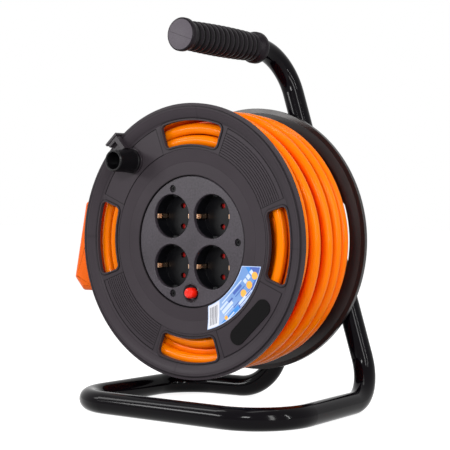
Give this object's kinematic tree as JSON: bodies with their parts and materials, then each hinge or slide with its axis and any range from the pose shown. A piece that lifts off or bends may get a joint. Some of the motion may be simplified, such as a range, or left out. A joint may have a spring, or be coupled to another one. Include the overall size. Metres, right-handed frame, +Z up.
{
  "type": "extension cord reel",
  "caption": "Cable drum with socket outlets in its front flange, crank knob and reset button, turning on a bent tube stand with a carrying grip.",
  "frame": {"origin": "on the ground, under the middle of the reel's bounding box without the free cord", "axes": "+Z up, +Y from the socket side to the back of the stand, +X to the right seen from the socket side; the drum's axis is parallel to Y"},
  "size_m": [0.2966, 0.2092, 0.3515],
  "materials": {
    "tube_paint": "gloss black paint",
    "grip_rubber": "satin",
    "drum_plastic": "satin, warm dark grey",
    "panel_plastic": "matt, finely speckled",
    "socket_plastic": "satin",
    "black_plastic": "satin gloss",
    "red_plastic": "satin",
    "button_red": "gloss",
    "cable_orange": "satin",
    "plug_orange": "satin",
    "label_print": "satin film",
    "nylon": "satin",
    "wire_insulation": "satin",
    "steel": "zinc plated",
    "dark_steel": "blackened",
    "nickel": "nickel plated",
    "brass": "bare"
  },
  "bodies": {
    "stand": {"frame_tube": "tube_paint", "handle_grip": "grip_rubber", "leg_end_cap": "black_plastic", "axle_bracket": "tube_paint", "axle": "steel", "axle_nut": "steel", "bracket_bolt": "steel", "retaining_ring": "steel", "retaining_washer": "steel", "thrust_washer": "steel"},
    "drum": {"front_flange": "drum_plastic", "rear_flange": "drum_plastic", "drum_barrel": "drum_plastic", "tie_screws": "steel", "hub_bush_inner": "nylon", "hub_bush_outer": "nylon", "socket_panel": "panel_plastic", "panel_screws": "dark_steel", "socket_cup_1": "socket_plastic", "socket_cup_2": "socket_plastic", "socket_cup_3": "socket_plastic", "socket_cup_4": "socket_plastic", "contact_carrier": "black_plastic", "carrier_cover": "black_plastic", "carrier_screws": "steel", "live_contacts": "brass", "neutral_contacts": "brass", "earth_contacts": "nickel", "thermal_cutout": "black_plastic", "reset_bezel": "socket_plastic", "terminal_block": "nylon", "inner_wires": "wire_insulation", "cable_gland": "black_plastic", "cable_inner_end": "cable_orange", "cable_core": "cable_orange", "cable_winding": "cable_orange", "knob_bracket": "black_plastic", "knob_rivet": "steel", "label": "label_print", "badge_plate": "black_plastic", "cable_tail": "cable_orange", "plug_body": "plug_orange", "plug_pins": "nickel", "plug_earth_strips": "nickel"},
    "knob": {"crank_knob": "black_plastic"},
    "reset": {"reset_button": "button_red"},
    "shutter_a": {"shutter_1": "red_plastic"},
    "shutter_b": {"shutter_2": "red_plastic"},
    "shutter_c": {"shutter_3": "red_plastic"},
    "shutter_d": {"shutter_4": "red_plastic"}
  },
  "joints": [
    {"name": "drum_spin", "type": "hinge", "parent": "stand", "child": "drum", "pos_m": [-0.00733, 0.01155, 0.155], "axis": [0, 1, 0], "continuous": true},
    {"name": "knob_spin", "type": "hinge", "parent": "drum", "child": "knob", "pos_m": [-0.07357, -0.05445, 0.22857], "axis": [0, 1, 0], "continuous": true},
    {"name": "reset_press", "type": "slide", "parent": "drum", "child": "reset", "axis": [0, 1, 0], "range_m": [0, 0.0025], "stiffness_N_per_m": 600, "springref_m": -0.002},
    {"name": "shutter_1_slide", "type": "slide", "parent": "drum", "child": "shutter_a", "axis": [1, 0, 0], "range_m": [0, 0.006], "stiffness_N_per_m": 100, "springref_m": -0.002},
    {"name": "shutter_2_slide", "type": "slide", "parent": "drum", "child": "shutter_b", "axis": [1, 0, 0], "range_m": [0, 0.006], "stiffness_N_per_m": 100, "springref_m": -0.002},
    {"name": "shutter_3_slide", "type": "slide", "parent": "drum", "child": "shutter_c", "axis": [1, 0, 0], "range_m": [0, 0.006], "stiffness_N_per_m": 100, "springref_m": -0.002},
    {"name": "shutter_4_slide", "type": "slide", "parent": "drum", "child": "shutter_d", "axis": [1, 0, 0], "range_m": [0, 0.006], "stiffness_N_per_m": 100, "springref_m": -0.002}
  ]
}
